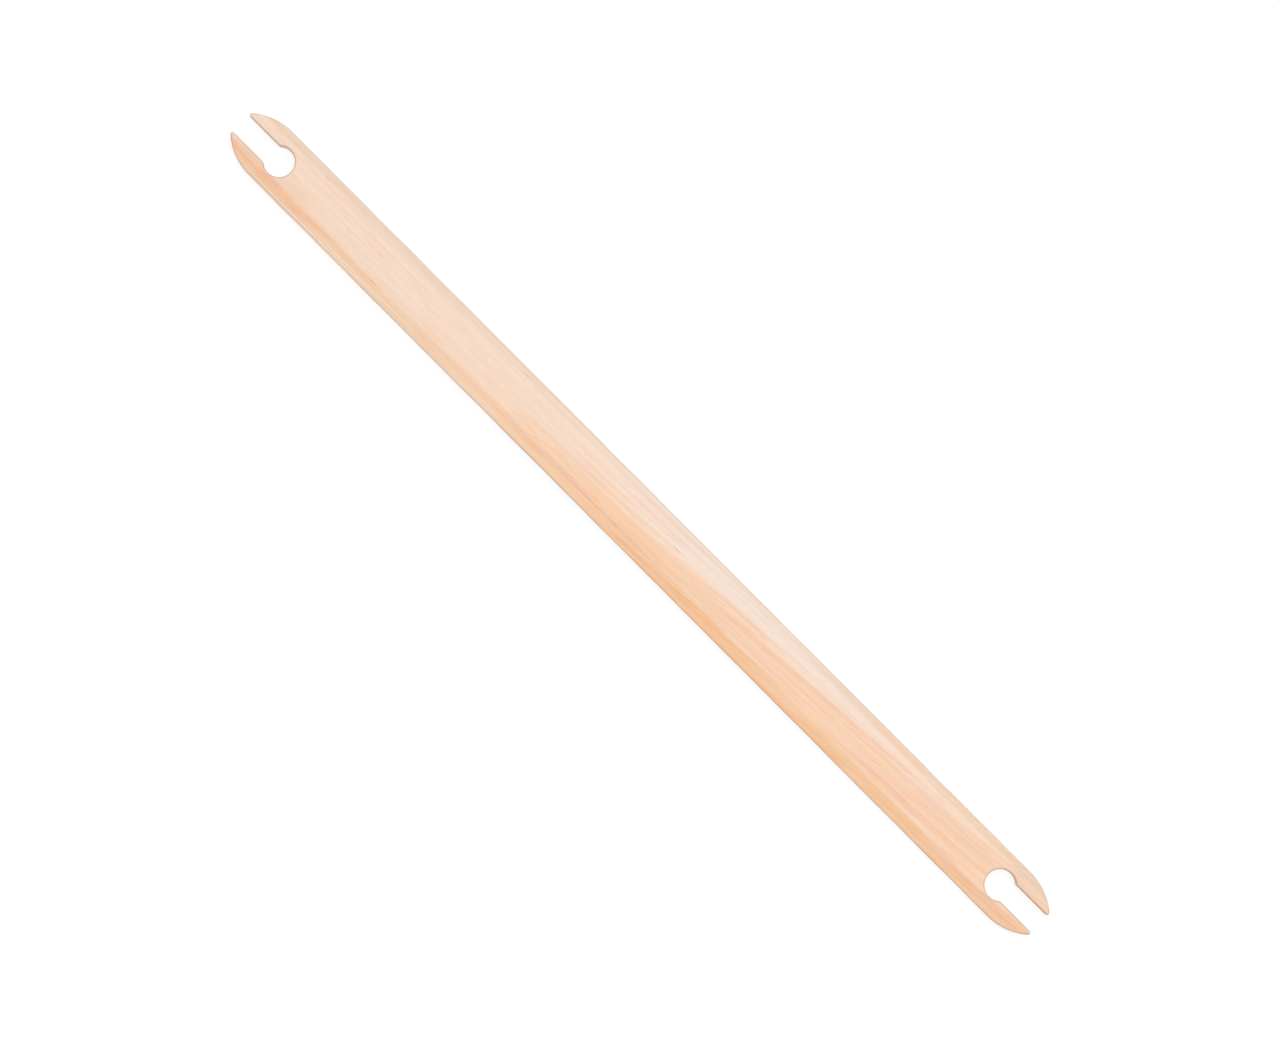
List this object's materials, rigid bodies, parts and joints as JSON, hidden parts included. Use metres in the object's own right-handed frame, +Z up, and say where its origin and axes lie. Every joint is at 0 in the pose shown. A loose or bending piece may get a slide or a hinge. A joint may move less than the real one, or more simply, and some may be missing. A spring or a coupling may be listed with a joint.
{
  "type": "stick shuttle",
  "caption": "Flat wooden weaving shuttle: a long blade with bevelled edges, and a keyhole between rounded horns at either end that takes the turns of weft yarn.",
  "frame": {"origin": "middle of the underside, halfway along and halfway across the blade", "axes": "+X along the blade, +Y across it towards the edge with the narrower bevel, +Z up out of the upper face"},
  "size_m": [0.6, 0.033, 0.005],
  "materials": {
    "blade_wood": "satin"
  },
  "bodies": {
    "root": {"shuttle_blade": "blade_wood"}
  },
  "joints": []
}
